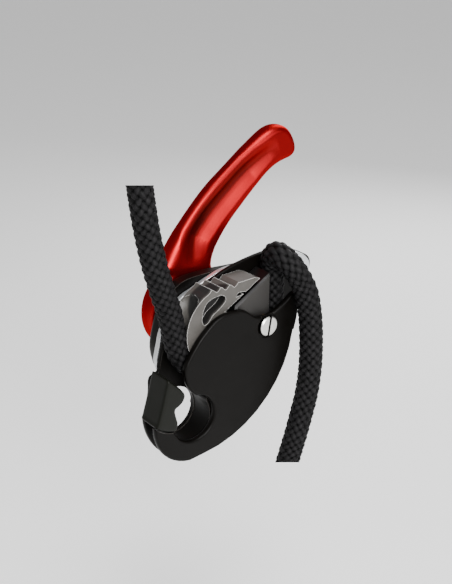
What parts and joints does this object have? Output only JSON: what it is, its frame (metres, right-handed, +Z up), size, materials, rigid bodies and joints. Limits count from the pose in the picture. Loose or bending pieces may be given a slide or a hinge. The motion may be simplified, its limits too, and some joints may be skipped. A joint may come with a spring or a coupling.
{
  "type": "rope descender",
  "caption": "Self-braking rope descender: a toothed, grooved cam and a friction block between side plates, a swinging front plate, a gated eye and a curved release lever.",
  "frame": {"origin": "centre of the attachment eye, half way between the outer faces of the rope channel", "axes": "+X to the right seen from the front plate, away from the gate; +Y from the front plate through the body to the release lever; +Z up, towards the raised lever"},
  "size_m": [0.1127, 0.0598, 0.1574],
  "materials": {
    "black_anodised": "black anodised aluminium, fine satin",
    "bare_steel": "bare stainless steel, ground flat",
    "cast_steel": "investment-cast steel, shot-blasted matt grey",
    "dark_steel": "dark steel, satin",
    "spring_steel": "drawn steel wire and ground pins",
    "bronze": "plain bearing bronze",
    "red_anodised": "red anodised aluminium, satin",
    "black_nylon": "moulded black nylon, fine grain",
    "black_rope": "black braided sheath"
  },
  "bodies": {
    "frame": {"inner_plate": "black_anodised", "steel_plate": "bare_steel", "rear_housing": "black_anodised", "housing_screw_1": "dark_steel", "housing_screw_2": "dark_steel", "housing_screw_3": "dark_steel", "friction_block": "dark_steel", "block_dowel": "spring_steel", "eye_spacer": "black_anodised", "spacer_rivet_1": "bare_steel", "spacer_rivet_2": "bare_steel", "pivot_sleeve": "spring_steel", "pivot_screw": "bare_steel", "pivot_nut": "dark_steel", "gate_pin": "spring_steel", "gate_spring": "spring_steel", "cam_axle": "dark_steel", "handle_washer": "bare_steel", "handle_screw": "dark_steel", "return_spring": "spring_steel", "rope_wrap": "black_rope", "loaded_strand": "black_rope", "braking_strand": "black_rope"},
    "cam": {"cam": "cast_steel", "cam_bush": "bronze", "drive_pin": "spring_steel"},
    "handle": {"handle": "red_anodised", "handle_bush": "bronze"},
    "side_plate": {"front_plate": "black_anodised", "plate_bush": "bronze"},
    "gate": {"gate": "black_nylon"}
  },
  "joints": [
    {"name": "handle_turn", "type": "hinge", "parent": "frame", "child": "handle", "pos_m": [0.019, 0.026, 0.039], "axis": [0, -1, 0], "range_deg": [0, 120], "stiffness_Nm_per_rad": 0.15, "springref_deg": -17.19},
    {"name": "cam_turn", "type": "hinge", "parent": "frame", "child": "cam", "pos_m": [0.019, 0, 0.039], "axis": [0, -1, 0], "range_deg": [0, 12]},
    {"name": "side_plate_swing", "type": "hinge", "parent": "frame", "child": "side_plate", "pos_m": [0.0427, -0.008, 0.0347], "axis": [0, -1, 0], "range_deg": [0, 75]},
    {"name": "gate_turn", "type": "hinge", "parent": "frame", "child": "gate", "pos_m": [-0.0089, -0.003, 0.0143], "axis": [0, -1, 0], "range_deg": [0, 30], "stiffness_Nm_per_rad": 0.01, "springref_deg": -28.65}
  ],
  "couplings": [
    {"joint": "cam_turn", "follows": "handle_turn", "ratio": 0.1}
  ]
}
